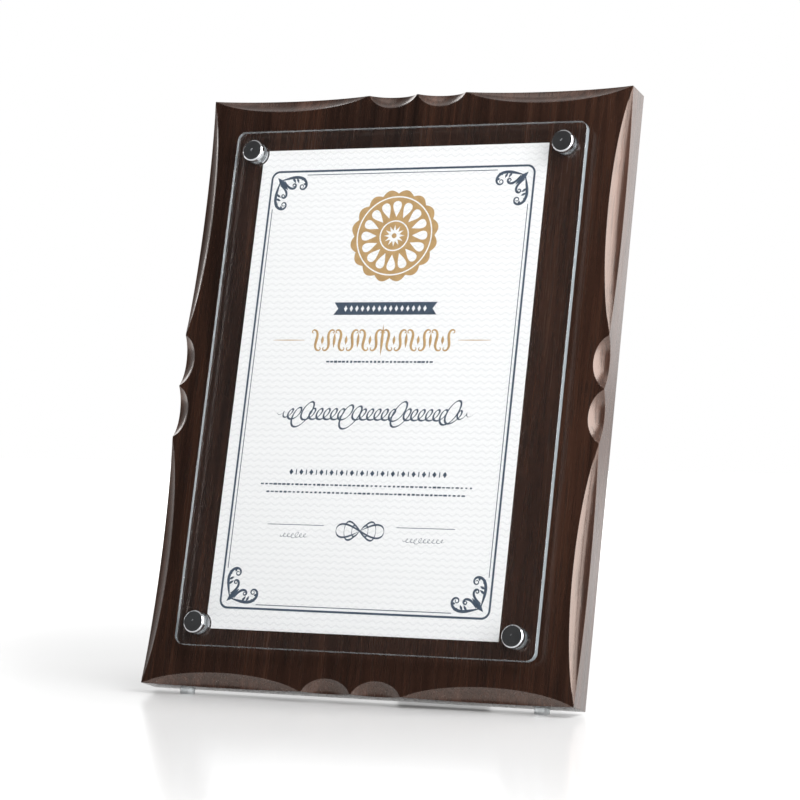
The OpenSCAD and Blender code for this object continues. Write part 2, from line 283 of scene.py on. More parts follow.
walnutSet = {
    "deep": (0.0090, 0.0038, 0.0025),
    "body": (0.0225, 0.0094, 0.0058),
    "light": (0.0450, 0.0185, 0.0105),
    "drift": (0.036, 0.0145, 0.0085, 1),
    "pore": (0.004, 0.0022, 0.0016, 1),
    "figureScale": 26.0,
    "streakScale": 210.0,
    "driftScale": 7.0,
    "poreScale": 950.0,
    "relief": 0.05 * mm,
    "coat": 0.3,
    "coatRoughness": 0.2,
    "glossTint": (1.0, 0.80, 0.70, 1),
    "glossLevel": 0.5,
}
# Inside the scallops: paler cut wood, its colours raised further as a painted reflection of the bright room
coveWalnutWithPaintedReflectionSet = dict(walnutSet, deep=(0.0160, 0.0074, 0.0051), body=(0.0390, 0.0190, 0.0135),
                    light=(0.0860, 0.0430, 0.0305), drift=(0.060, 0.029, 0.020, 1), glossLevel=0.85)


def walnutLacquer(name, s):
    material, tree, shader = newMaterial(name)
    figure = noise(tree, boardCoordinates(tree, (1, 1, 0.10)), s["figureScale"], 4.0, 0.55, 0.9)
    streak = noise(tree, boardCoordinates(tree, (1, 1, 0.035)), s["streakScale"], 5.0, 0.6, 0.2)
    drift = noise(tree, boardCoordinates(tree, (1, 1, 0.5)), s["driftScale"], 2.0)
    pores = noise(tree, boardCoordinates(tree, (1, 1, 0.045)), s["poreScale"], 2.0, 0.5)
    tone = plus(tree, times(tree, figure, 0.45), times(tree, streak, 0.55))
    colour = ramp(tree, tone, [(0.38, s["deep"]), (0.51, s["body"]), (0.64, s["light"])])
    colour = mixColours(tree, span(tree, drift, 0.0, 0.4, 0.4, 0.65), colour, s["drift"])
    openPores = span(tree, pores, 1.0, 0.0, 0.34, 0.46)
    colour = mixColours(tree, times(tree, openPores, 0.55), colour, s["pore"])
    gloss = plus(tree, span(tree, streak, 0.18, 0.29, 0.3, 0.7), times(tree, openPores, 0.10))
    height = minus(tree, times(tree, streak, 0.35), times(tree, openPores, 0.6))
    relief = bump(tree, height, s["relief"], 0.6)
    connect(tree, shader, {"Base Color": colour, "Roughness": gloss, "Normal": relief,
                           "Coat Normal": relief})
    shader.inputs["Specular IOR Level"].default_value = s["glossLevel"]
    shader.inputs["Specular Tint"].default_value = s["glossTint"]
    shader.inputs["Coat Weight"].default_value = s["coat"]
    shader.inputs["Coat Roughness"].default_value = s["coatRoughness"]
    return material


# Clear acrylic: lamps shine through it onto the sheet

acrylicSet = {"tint": (0.985, 0.995, 1.0, 1), "through": (0.985, 0.985, 0.985, 1), "index": 1.49,
              "scratchScale": 420.0}


def clearAcrylic(s):
    material, tree, shader = newMaterial("clearAcrylic")
    shader.inputs["Base Color"].default_value = s["tint"]
    shader.inputs["IOR"].default_value = s["index"]
    shader.inputs["Transmission Weight"].default_value = 1.0
    haze = noise(tree, boardCoordinates(tree), s["scratchScale"], 2.0)
    connect(tree, shader, {"Roughness": span(tree, haze, 0.0, 0.012, 0.35, 0.75)})
    path = addNode(tree, "ShaderNodeLightPath")
    letThrough = calc(tree, "MAXIMUM", path.outputs["Is Shadow Ray"], path.outputs["Is Diffuse Ray"])
    through = addNode(tree, "ShaderNodeBsdfTransparent", {"Color": s["through"]})
    surfaces = {0: letThrough, 1: shader.outputs[0], 2: through.outputs[0]}
    both = addNode(tree, "ShaderNodeMixShader", surfaces)
    tree.links.new(both.outputs[0], tree.nodes["Material Output"].inputs["Surface"])
    return material


# The sawn and polished edge of the plate, which gathers light

plateEdgeSet = {"colour": (0.30, 0.345, 0.37, 1), "pale": (0.42, 0.465, 0.49, 1), "scale": 300.0,
                "clear": 0.45, "turned": 0.3}  # a face that looks forward by less than "turned" is an edge


def polishedEdge(s):
    material, tree, shader = newMaterial("polishedEdge")
    mark = noise(tree, boardCoordinates(tree, (1, 6, 1)), s["scale"], 3.0)
    colour = mixColours(tree, span(tree, mark, 0.0, 1.0, 0.35, 0.65), s["colour"], s["pale"])
    connect(tree, shader, {"Base Color": colour, "Roughness": span(tree, mark, 0.12, 0.25)})
    shader.inputs["Transmission Weight"].default_value = s["clear"]
    shader.inputs["IOR"].default_value = acrylicSet["index"]
    return material


# White card with fine wavy lines under the print

cardSet = {
    "card": (0.86, 0.86, 0.86, 1),
    "line": (0.68, 0.685, 0.69, 1),
    "fibre": (0.77, 0.77, 0.77, 1),
    "pitch": 3.4 * mm,
    "wave": 5.2 * mm,
    "sway": 1.15,
    "tooth": 0.02 * mm,  # depth of the paper's own texture
}


def printedCard(s):
    material, tree, shader = newMaterial("printedCard")
    place = addNode(tree, "ShaderNodeSeparateXYZ", {"Vector": boardCoordinates(tree)})
    across = times(tree, place.outputs["X"], 2 * math.pi / s["wave"])
    swing = times(tree, calc(tree, "SINE", across), s["sway"])
    upward = times(tree, place.outputs["Z"], 2 * math.pi / s["pitch"])
    wave = calc(tree, "SINE", plus(tree, upward, swing))
    fibre = noise(tree, boardCoordinates(tree), 900.0, 4.0, 0.6)
    colour = mixColours(tree, span(tree, wave, 0.0, 0.5, 0.55, 0.95), s["card"], s["line"])
    colour = mixColours(tree, span(tree, fibre, 0.0, 0.10, 0.4, 0.7), colour, s["fibre"])
    connect(tree, shader, {"Base Color": colour, "Roughness": span(tree, fibre, 0.42, 0.58),
                           "Normal": bump(tree, fibre, s["tooth"], 0.3)})
    shader.inputs["Specular IOR Level"].default_value = 0.3
    return material


inkSet = {
    "slateInk": {"colour": (0.052, 0.078, 0.115, 1), "dark": (0.040, 0.060, 0.092, 1), "rough": 0.38},
    "goldInk": {"colour": (0.50, 0.325, 0.145, 1), "dark": (0.41, 0.255, 0.105, 1), "rough": 0.34},
}


def printInk(name, s):
    material, tree, shader = newMaterial(name)
    patch = noise(tree, boardCoordinates(tree), 260.0, 3.0)
    mixed = mixColours(tree, span(tree, patch, 0.0, 1.0, 0.35, 0.7), s["colour"], s["dark"])
    rough = span(tree, patch, s["rough"], s["rough"] + 0.12)
    connect(tree, shader, {"Base Color": mixed, "Roughness": rough})
    return material


# Metals: polished chrome, turned steel and bright zinc

polishDepth = 0.004 * mm
metalSet = {
    "chrome": {"colour": (0.62, 0.63, 0.65), "low": 0.03, "high": 0.08, "scale": 500.0},
    "turnedSteel": {"colour": (0.60, 0.61, 0.63), "low": 0.16, "high": 0.30, "scale": 900.0},
    "brightZinc": {"colour": (0.40, 0.41, 0.42), "low": 0.24, "high": 0.46, "scale": 160.0},
}


def brightMetal(name, s):
    material, tree, shader = newMaterial(name)
    grain = noise(tree, boardCoordinates(tree, (1, 1, 0.25)), s["scale"], 4.0, 0.6)
    patch = noise(tree, boardCoordinates(tree), s["scale"] / 7, 3.0)
    shade = tuple(c * 0.78 for c in s["colour"])
    colour = mixColours(tree, span(tree, patch, 0.0, 1.0, 0.35, 0.7), (*s["colour"], 1), (*shade, 1))
    rough = span(tree, times(tree, plus(tree, grain, patch), 0.5), s["low"], s["high"], 0.35, 0.65)
    relief = bump(tree, grain, polishDepth, 0.5)
    connect(tree, shader, {"Base Color": colour, "Roughness": rough, "Normal": relief})
    shader.inputs["Metallic"].default_value = 1.0
    return material


# Flock, stained hardboard, rubber and nylon

softSet = {
    "blackFlock": {"colour": (0.010, 0.010, 0.011), "light": (0.026, 0.026, 0.029), "scale": 2600.0,
                   "rough": (0.88, 1.0), "depth": 0.00012, "sheen": 0.12},
    "stainedHardboard": {"colour": (0.012, 0.011, 0.0105), "light": (0.034, 0.028, 0.024), "scale": 700.0,
                         "rough": (0.55, 0.75), "depth": 0.00004, "sheen": 0.0},
    "blackRubber": {"colour": (0.014, 0.014, 0.015), "light": (0.027, 0.027, 0.028), "scale": 900.0,
                    "rough": (0.55, 0.72), "depth": 0.00003, "sheen": 0.0},
}


def softSurface(name, s):
    material, tree, shader = newMaterial(name)
    nap = noise(tree, boardCoordinates(tree), s["scale"], 3.0, 0.7)
    brushed = noise(tree, boardCoordinates(tree), 38.0, 3.0, 0.6, 0.6)
    mixed = plus(tree, times(tree, nap, 0.6), times(tree, brushed, 0.4))
    colour = ramp(tree, mixed, [(0.38, s["colour"]), (0.66, s["light"])])
    rough = span(tree, nap, *s["rough"], 0.3, 0.7)
    relief = bump(tree, nap, s["depth"], 0.8)
    connect(tree, shader, {"Base Color": colour, "Roughness": rough, "Normal": relief})
    shader.inputs["Sheen Weight"].default_value = s["sheen"]
    shader.inputs["Specular IOR Level"].default_value = 0.3
    return material


clearSet = {
    "clearNylon": {"colour": (0.94, 0.96, 0.97, 1), "cloud": (0.82, 0.86, 0.88, 1), "rough": 0.18},
    "clearRubber": {"colour": (0.90, 0.93, 0.94, 1), "cloud": (0.82, 0.86, 0.88, 1), "rough": 0.30},
}


def clearPlastic(name, s):
    material, tree, shader = newMaterial(name)
    cloud = noise(tree, boardCoordinates(tree), 700.0, 3.0)
    shade = mixColours(tree, span(tree, cloud, 0.0, 1.0, 0.3, 0.7), s["colour"], s["cloud"])
    rough = span(tree, cloud, s["rough"], s["rough"] + 0.15)
    connect(tree, shader, {"Base Color": shade, "Roughness": rough})
    shader.inputs["Transmission Weight"].default_value = 0.85
    shader.inputs["IOR"].default_value = 1.5
    return material


walnut = walnutLacquer("walnutLacquer", walnutSet)
coveWalnutWithPaintedReflection = walnutLacquer("coveWalnutWithPaintedReflection", coveWalnutWithPaintedReflectionSet)  # paler cut wood inside the scallops, lightened further by a painted reflection of the bright room
acrylic = clearAcrylic(acrylicSet)
plateEdge = polishedEdge(plateEdgeSet)
card = printedCard(cardSet)
slateInk, goldInk = (printInk(name, s) for name, s in inkSet.items())
metals = {name: brightMetal(name, s) for name, s in metalSet.items()}
softs = {name: softSurface(name, s) for name, s in softSet.items()}
nylon, clearRubber = (clearPlastic(name, s) for name, s in clearSet.items())
print("materials made:", len(bpy.data.materials))


# Edges: a CAD shape whose sharp edges are broken by a small round

edgeSet = {
    "acrylic_plate": {"name": "acrylicPlate", "width": 0.35 * mm, "rounds": 2},
    "keyhole_plate": {"name": "keyholePlate", "width": 0.22 * mm, "rounds": 2},
    "hinge_fixed_leaf": {"name": "hingeFixedLeaf", "width": 0.15 * mm, "rounds": 2},
    "hinge_moving_leaf": {"name": "hingeMovingLeaf", "width": 0.15 * mm, "rounds": 2},
    "strut_leg": {"name": "strutLeg", "width": 0.30 * mm, "rounds": 2},
    "strut_foot": {"name": "strutFoot", "width": 0.50 * mm, "rounds": 3},
}
slots = {p["node"]: p["material_slot"] for p in frame["record"]["subparts"]}


def addPiece(name, mesh, material, body):
    piece = bpy.data.objects.new(name, mesh)
    scene.collection.objects.link(piece)
    if material:
        mesh.materials.clear()
        mesh.materials.append(material)
    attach(piece, body)
    return piece


def breakEdges(piece, width, rounds=2):
    sharp = math.radians(28)
    piece.data.shade_smooth()
    piece.data.set_sharp_from_angle(angle=sharp)
    edge = piece.modifiers.new("brokenEdges", "BEVEL")
    edge.width = width
    edge.segments = rounds
    edge.limit_method = "ANGLE"
    edge.angle_limit = sharp
    edge.use_clamp_overlap = False
    edge.harden_normals = True


def softenEdges(node, s, material):
    whole = bmesh.new()
    whole.from_mesh(nodes[node].data)
    bmesh.ops.remove_doubles(whole, verts=whole.verts, dist=1e-6)
    flat = math.radians(0.05)
    bmesh.ops.dissolve_limit(whole, angle_limit=flat, verts=whole.verts, edges=whole.edges)
    mesh = bpy.data.meshes.new(s["name"])
    whole.to_mesh(mesh)
    whole.free()
    piece = addPiece(s["name"], mesh, material, nodes[node]["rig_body"])
    breakEdges(piece, s["width"], s["rounds"])
    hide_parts(node)
    return piece


# The board: sixteen scallops cut by a round cutter that swings on a ring, and a back with a keyhole pocket

boardSet = {  # millimetres
    "shortScallop": 29.0,
    "faceReach": 7.5,
    "sideReach": 4.5,
    "cutter": 9.0,
    "land": 0.4,
    "chamfer": 1.0,
    "shortStations": 21,
    "longStations": 41,
    "pocketWidth": 12.0,
    "pocketHeight": 23.0,
    "pocketUp": 121.5,
    "pocketDepth": 9.0,
    "edge": 0.18,
    "cutLow": 0.02,  # a face that looks forward between these two shares is inside a scallop
    "cutHigh": 0.9999,
}


# One scallop with the strip of side face behind it. Here z is out of the front and y is out of the side
def scallopTree():
    titles = ("Land", "Ring Radius", "Cutter Radius", "Near", "Aside", "Face Reach",
              "Side Reach", "Along", "Side Length", "Thickness", "Chamfer")
    inputs = {title: 1.0 for title in titles}
    inputs["Stations"] = 1
    tree, given = newTree("scallopStrip", inputs)
    coveRows = 15
    half = wholeCalc(tree, "MULTIPLY", given["Stations"], 2)
    count = wholeCalc(tree, "ADD", half, 1)
    sizes = {"Vertices X": count, "Vertices Y": coveRows + 2, "Size X": half, "Size Y": coveRows + 1.0}
    strip = shape(tree, "MeshGrid", sizes)
    place = position(tree)
    station, row = place["X"], plus(tree, place["Y"], (coveRows + 1) / 2)
    way = calc(tree, "SIGN", station)
    step = calc(tree, "ABSOLUTE", station)
    runOut = minus(tree, given["Stations"], 1.0)
    share = calc(tree, "MINIMUM", over(tree, step, runOut), 1.0)
    depth = minus(tree, 1.0, times(tree, share, share))
    onLand = calc(tree, "MAXIMUM", minus(tree, step, runOut), 0.0)
    ring, cutter, near, aside = given["Ring Radius"], given["Cutter Radius"], given["Near"], given["Aside"]

    def rim(reach, side):  # where the cut meets the front (1) or the side face (-1)
        deep = times(tree, times(tree, reach, math.sqrt(0.5)), depth)
        across = minus(tree, times(tree, deep, side), aside)
        swing = calc(tree, "ARCSINE", over(tree, across, cutter))
        outer = plus(tree, ring, times(tree, calc(tree, "COSINE", swing), cutter))
        inner = plus(tree, plus(tree, deep, near), ring)
        gap = minus(tree, times(tree, outer, outer), times(tree, inner, inner))
        return calc(tree, "SQRT", calc(tree, "MAXIMUM", gap, 0.0)), swing

    frontLong, frontSwing = rim(given["Face Reach"], 1.0)
    sideLong, sideSwing = rim(given["Side Reach"], -1.0)
    roundShare = calc(tree, "MINIMUM", over(tree, row, coveRows - 1.0), 1.0)
    along = span(tree, roundShare, frontLong, sideLong)
    swing = span(tree, roundShare, frontSwing, sideSwing)
    outer = plus(tree, ring, times(tree, calc(tree, "COSINE", swing), cutter))
    gap = minus(tree, times(tree, outer, outer), times(tree, along, along))
    into = minus(tree, minus(tree, calc(tree, "SQRT", gap), near), ring)
    across = plus(tree, aside, times(tree, calc(tree, "SINE", swing), cutter))
    out = times(tree, plus(tree, into, across), -math.sqrt(0.5))
    front = times(tree, minus(tree, across, into), math.sqrt(0.5))

    onSide = span(tree, row, 0.0, 1.0, coveRows - 1.0, coveRows)  # then the side face and the rear chamfer
    onBack = span(tree, row, 0.0, 1.0, coveRows, coveRows + 1.0)
    chamfer = times(tree, onBack, given["Chamfer"])
    sideEnd = minus(tree, given["Chamfer"], given["Thickness"])
    out = minus(tree, times(tree, out, minus(tree, 1.0, onSide)), chamfer)
    front = minus(tree, span(tree, onSide, front, sideEnd), chamfer)
    landed = calc(tree, "MULTIPLY_ADD", onLand, given["Land"], along)
    x = plus(tree, times(tree, landed, way), given["Along"])
    narrow = over(tree, times(tree, chamfer, 2.0), given["Side Length"])
    x = times(tree, x, minus(tree, 1.0, narrow))
    placed = {"Geometry": strip, "Position": vector(tree, x, out, front)}
    placed = shape(tree, "SetPosition", placed)
    tree.links.new(placed, tree.nodes.new("NodeGroupOutput").inputs[0])
    return tree


def boardTree(s, width, height):
    titles = ("Thickness", "Face Reach", "Side Reach", "Cutter Radius", "Land", "Chamfer", "Pocket Depth")
    tree, given = newTree("scallopedBoard", {**{title: 1.0 for title in titles}, "Wood": walnut})
    strip = scallopTree()
    chord = math.hypot(s["faceReach"], s["sideReach"])
    rise = math.sqrt(s["cutter"] ** 2 - chord ** 2 / 4)
    centreOut = -s["faceReach"] / 2 + rise * s["sideReach"] / chord
    centreFront = -s["sideReach"] / 2 + rise * s["faceReach"] / chord
    near, aside = (centreOut + centreFront) / math.sqrt(2), (centreFront - centreOut) / math.sqrt(2)
    far = math.sqrt(s["cutter"] ** 2 - aside ** 2)
    sides = []
    for side in range(4):
        length, reach = (width, height / 2) if side % 2 == 0 else (height, width / 2)
        longHalf = (length / 2 - s["shortScallop"]) / 2
        strips = []
        for way in (-1, 1):
            for middle, half, land, stations in (
                    (way * s["shortScallop"] / 2, s["shortScallop"] / 2, s["land"] / 2, s["shortStations"]),
                    (way * (s["shortScallop"] + longHalf), longHalf, s["land"], s["longStations"])):
                ring = ((half - land) ** 2 / (far - near) - near - far) / 2
                values = {"Ring Radius": ring, "Near": near, "Aside": aside, "Along": middle,
                          "Side Length": length, "Stations": stations,
                          "Thickness": given["Thickness"], "Face Reach": given["Face Reach"],
                          "Side Reach": given["Side Reach"], "Cutter Radius": given["Cutter Radius"],
                          "Land": times(tree, given["Land"], land / s["land"]), "Chamfer": given["Chamfer"]}
                strips.append(shape(tree, "Group", values, node_tree=strip))
        outward = moved(tree, joined(tree, strips), (0, reach, 0))
        sides.append(moved(tree, outward, turn=(0, 0, -math.pi / 2 * side)))
    rim = merged(tree, joined(tree, sides))

    faces = tree.nodes.new("GeometryNodeInputMeshEdgeNeighbors").outputs[0]
    openEdges = addNode(tree, "FunctionNodeCompare", {2: faces, 3: 1}, data_type="INT",
                        operation="EQUAL").outputs[0]
    level = position(tree)["Z"]
    nearFront = {0: level, 1: -0.001}
    nearFront = addNode(tree, "FunctionNodeCompare", nearFront, operation="GREATER_THAN").outputs[0]
    rims = []
    for operation in ("AND", "NIMPLY"):  # the open edges at the front, then those at the back
        chosen = {0: openEdges, 1: nearFront}
        chosen = addNode(tree, "FunctionNodeBooleanMath", chosen, operation=operation).outputs[0]
        rims.append(shape(tree, "MeshToCurve", {"Mesh": rim, "Selection": chosen}))
    frontRim, backRim = rims
    face = shape(tree, "FillCurve", {"Curve": frontRim}, mode="NGONS")

    outline = {"Width": s["pocketWidth"], "Height": s["pocketHeight"]}
    outline = shape(tree, "CurvePrimitiveQuadrilateral", outline)
    corner = {"Curve": outline, "Radius": s["pocketWidth"] / 2 - 0.001, "Count": 12}
    outline = shape(tree, "FilletCurve", corner, mode="POLY")
    outline = moved(tree, outline, (0, s["pocketUp"], 0))
    back = shape(tree, "FillCurve", {"Curve": joined(tree, [backRim, outline])})
    back = moved(tree, back, vector(tree, 0.0, 0.0, times(tree, given["Thickness"], -1.0)))
    floorAt = minus(tree, given["Pocket Depth"], given["Thickness"])
    floorSpot = vector(tree, 0.0, 0.0, floorAt)
    floor = moved(tree, shape(tree, "FillCurve", {"Curve": outline}, mode="NGONS"), floorSpot)
    ringEdges = moved(tree, shape(tree, "CurveToMesh", {"Curve": outline}), floorSpot)
    backwards = {"Mesh": ringEdges, "Offset": vector(tree, 0.0, 0.0, -1.0),
                 "Offset Scale": given["Pocket Depth"]}
    walls = shape(tree, "ExtrudeMesh", backwards, mode="EDGES")
    finishTree(tree, merged(tree, joined(tree, [rim, face, back, floor, walls])), given["Wood"])
    return tree


def makeBoard(s):
    low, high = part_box("board")
    height, thick = (v / mm for v in leaningSize("board", s["chamfer"] * mm))
    width = (high.x - low.x) / mm
    values = {"Thickness": thick, "Face Reach": s["faceReach"], "Side Reach": s["sideReach"],
              "Cutter Radius": s["cutter"], "Land": s["land"], "Chamfer": s["chamfer"],
              "Pocket Depth": s["pocketDepth"], "Wood": walnut}
    mesh = grown("walnutBoard", boardTree(s, width, height), values)
    whole = bmesh.new()
    whole.from_mesh(mesh)
    bmesh.ops.recalc_face_normals(whole, faces=whole.faces)
    whole.to_mesh(mesh)
    whole.free()
    print("board", [round(v, 2) for v in (width, height, thick)], len(mesh.polygons), "faces")
    mesh.materials.clear()
    mesh.materials.append(walnut)
    mesh.materials.append(coveWalnutWithPaintedReflection)
    # Faces inside the scallops take the walnut lightened with a painted reflection
    for face in mesh.polygons:
        face.material_index = 1 if s["cutLow"] < face.normal.dot(outWay) < s["cutHigh"] else 0
    piece = addPiece("walnutBoard", mesh, None, nodes["board"]["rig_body"])
    breakEdges(piece, s["edge"] * mm)
    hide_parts("board")


makeBoard(boardSet)
finishes = {
    "printed_sheet": card, "velour": softs["blackFlock"], "chrome": metals["chrome"],
    "turned_steel": metals["turnedSteel"], "zinc_plate": metals["brightZinc"], "clear_nylon": nylon,
    "clear_rubber": clearRubber, "black_rubber": softs["blackRubber"],
    "black_board": softs["stainedHardboard"], "walnut": walnut, "clear_acrylic": acrylic,
}
softened = {node: softenEdges(node, s, finishes[slots[node]]) for node, s in edgeSet.items()}
for node, part in nodes.items():
    part.data.materials.clear()
    part.data.materials.append(finishes[slots[node]])
plateShape = softened["acrylic_plate"].data
plateShape.materials.append(plateEdge)
for face in plateShape.polygons:
    face.material_index = 1 if abs(face.normal.dot(outWay)) < plateEdgeSet["turned"] else 0
print("edges broken and finishes given")


# Print on the sheet: ink a few hundredths of a millimetre proud, drawn about the middle of the board

inkLevel = sheetThick / mm
inkThick = 0.04


def inkSolid(tree, flat):  # a closed slip of ink from a flat outline
    up = vector(tree, 0.0, 0.0, inkThick)
    raised = {"Mesh": flat, "Offset": up, "Offset Scale": 1.0, "Individual": False}
    top = shape(tree, "ExtrudeMesh", raised, mode="FACES")
    under = shape(tree, "FlipFaces", {"Mesh": flat})
    return moved(tree, merged(tree, joined(tree, [top, under]), 0.0005), (0, 0, inkLevel))


def inkBar(tree, middle, size):
    bar = shape(tree, "MeshCube", {"Size": (*size, inkThick)})
    return moved(tree, bar, (*middle, inkLevel + inkThick / 2))


def addPrint(name, tree, values, seed=None):
    mesh = grown(name, tree, values, seed)
    addPiece(name, mesh, None, "board")
    print(name, len(mesh.polygons), "faces")


def strokeTree():  # pen strokes from lines whose points carry the width of the nib
    tree, given = newTree("penStrokes", {"Flatness": 0.06, "Ink": slateInk})
    lines = shape(tree, "MeshToCurve", {"Mesh": given["Geometry"]})
    width = shape(tree, "InputNamedAttribute", {"Name": "nib"}, data_type="FLOAT")
    nib = shape(tree, "CurvePrimitiveCircle", {"Resolution": 8, "Radius": 0.5})
    tube = {"Curve": lines, "Profile Curve": nib, "Scale": width, "Fill Caps": True}
    stroke = shape(tree, "CurveToMesh", tube)
    flat = moved(tree, stroke, (0, 0, inkLevel), size=vector(tree, 1.0, 1.0, given["Flatness"]))
    finishTree(tree, flat, given["Ink"])
    return tree


penTree = strokeTree()


def strokeSeed(name, strokes):
    points, edges, widths = [], [], []
    for line, nibs in strokes:
        first = len(points)
        points += [(x, y, 0) for x, y in line]
        widths += nibs
        edges += [(first + i, first + i + 1) for i in range(len(line) - 1)]
    seed = bpy.data.meshes.new(name + "Lines")
    seed.from_pydata(points, edges, [])
    seed.attributes.new("nib", "FLOAT", "POINT").data.foreach_set("value", widths)
    return seed


def addStrokes(name, strokes, ink, flatness=0.06):
    addPrint(name, penTree, {"Flatness": flatness, "Ink": ink}, strokeSeed(name, strokes))


def curl(start, heading, length, bends, steps):  # a line that bends evenly from one value to the next
    x, y = start
    turn = math.radians(heading)
    line = [(x, y)]
    for i in range(steps):
        spot = (i + 0.5) / steps * (len(bends) - 1)
        low = min(int(spot), len(bends) - 2)
        turn += (bends[low] + (bends[low + 1] - bends[low]) * (spot - low)) * length / steps
        x += math.cos(turn) * length / steps
        y += math.sin(turn) * length / steps
        line.append((x, y))
    return line


def swell(line, thin, thick, peak=0.5):  # nib widths that grow to the peak and thin out again
    widths = []
    for i in range(len(line)):
        t = i / (len(line) - 1)
        t = t / peak * 0.5 if t < peak else 0.5 + (t - peak) / (1 - peak) * 0.5
        widths.append(thin + (thick - thin) * max(math.sin(math.pi * t), 0.0) ** 1.2)
    return widths


def penWidths(line, thin, thick, nibAngle=40):  # a broad nib: thin along its edge and thick across it
    widths = []
    for i in range(len(line)):
        a, b = line[max(i - 1, 0)], line[min(i + 1, len(line) - 1)]
        way = math.atan2(b[1] - a[1], b[0] - a[0]) - math.radians(nibAngle)
        widths.append(thin + (thick - thin) * abs(math.sin(way)))
    fade = max(len(line) // 14, 2)
    for i in range(fade):
        share = (i + 1) / (fade + 1)
        widths[i] *= share
        widths[-1 - i] *= share
    return widths


# Border: one bold line with round corners and four fine lines inside it

borderSet = {"left": -82.3, "right": 75.2, "low": -123.0, "high": 122.2, "radius": 5.0, "bold": 1.15,
             "fine": 0.42, "gap": 1.35, "cornerFree": 22.0}


def borderTree(s):
    inputs = {"Width": 1.0, "Height": 1.0, "Radius": 1.0, "Bold": 1.0, "Ink": slateInk}
    tree, given = newTree("ruledBorder", inputs)
    outlines = []
    for inset in (0.0, given["Bold"]):
        twice = times(tree, inset, 2.0)
        sizes = {"Width": minus(tree, given["Width"], twice),
                 "Height": minus(tree, given["Height"], twice)}
        box = shape(tree, "CurvePrimitiveQuadrilateral", sizes)
        corner = {"Curve": box, "Radius": minus(tree, given["Radius"], inset), "Count": 10}
        outlines.append(shape(tree, "FilletCurve", corner, mode="POLY"))
    ring = inkSolid(tree, shape(tree, "FillCurve", {"Curve": joined(tree, outlines)}))
    width, height = s["right"] - s["left"], s["high"] - s["low"]
    pieces = [ring]
    inset = s["bold"] + s["gap"] + s["fine"] / 2
    barWide, barHigh = width - 2 * s["cornerFree"], height - 2 * s["cornerFree"]
    for way in (-1, 1):
        pieces.append(inkBar(tree, (0, way * (height / 2 - inset)), (barWide, s["fine"])))
        pieces.append(inkBar(tree, (way * (width / 2 - inset), 0), (s["fine"], barHigh)))
    middle = ((s["left"] + s["right"]) / 2, (s["low"] + s["high"]) / 2, 0)
    finishTree(tree, moved(tree, joined(tree, pieces), middle), given["Ink"])
    return tree


def makeBorder(s):
    values = {"Width": s["right"] - s["left"], "Height": s["high"] - s["low"], "Radius": s["radius"],
              "Bold": s["bold"], "Ink": slateInk}
    addPrint("borderPrint", borderTree(s), values)


makeBorder(borderSet)


# Corner flourishes: a long and a short scroll to each side of a bud, with leaves

flourishSet = {
    "inset": 1.2,
    "bud": ((3.0, 3.0), 45, 9.5, (0.0, 0.0), 0.3, 2.9),
    "scrolls": [
        ((4.6, 4.6), -14, 29, (0.0, 0.01, 0.10, 0.24, 0.55, 1.25), 0.42, 1.70, 0.35),
        ((7.2, 4.6), 62, 15, (-0.05, -0.10, -0.34, -0.95, -1.6), 0.36, 1.35, 0.4),
        ((12.0, 3.3), 38, 3.4, (0.1, 0.2), 0.18, 1.35, 0.45),
        ((14.6, 3.4), 48, 3.0, (0.1, 0.2), 0.18, 1.35, 0.45),
        ((17.5, 4.4), -38, 2.6, (0.1, 0.2), 0.18, 1.35, 0.45),
        ((18.9, 6.6), 0, 2.4, (0.1, 0.2), 0.18, 1.35, 0.45),
    ],
}


def makeFlourishes(s, border):
    corner = []
    start, heading, length, bends, thin, thick = s["bud"]
    bud = curl(start, heading, length, bends, 16)
    corner.append((bud, swell(bud, thin, thick, 0.45)))
    for start, heading, length, bends, thin, thick, peak in s["scrolls"]:
        line = curl(start, heading, length, bends, 14 if length < 5 else 46)
        widths = swell(line, thin, thick, peak)
        corner += [(line, widths), ([(y, x) for x, y in line], widths)]
    strokes = []
    for edgeX, wayX in ((border["left"], 1), (border["right"], -1)):
        for edgeY, wayY in ((border["low"], 1), (border["high"], -1)):
            for line, widths in corner:
                spots = [(edgeX + wayX * (s["inset"] + x), edgeY + wayY * (s["inset"] + y))
                         for x, y in line]
                strokes.append((spots, widths))
    addStrokes("cornerFlourishes", strokes, slateInk)


makeFlourishes(flourishSet, borderSet)


# Gold seal: a lobed disc with rings, petals and a star left open in it

sealSet = {"middle": (-3.5, 83.8), "radius": 26.0, "lobes": 16, "lobeDepth": 0.085, "petals": 16}


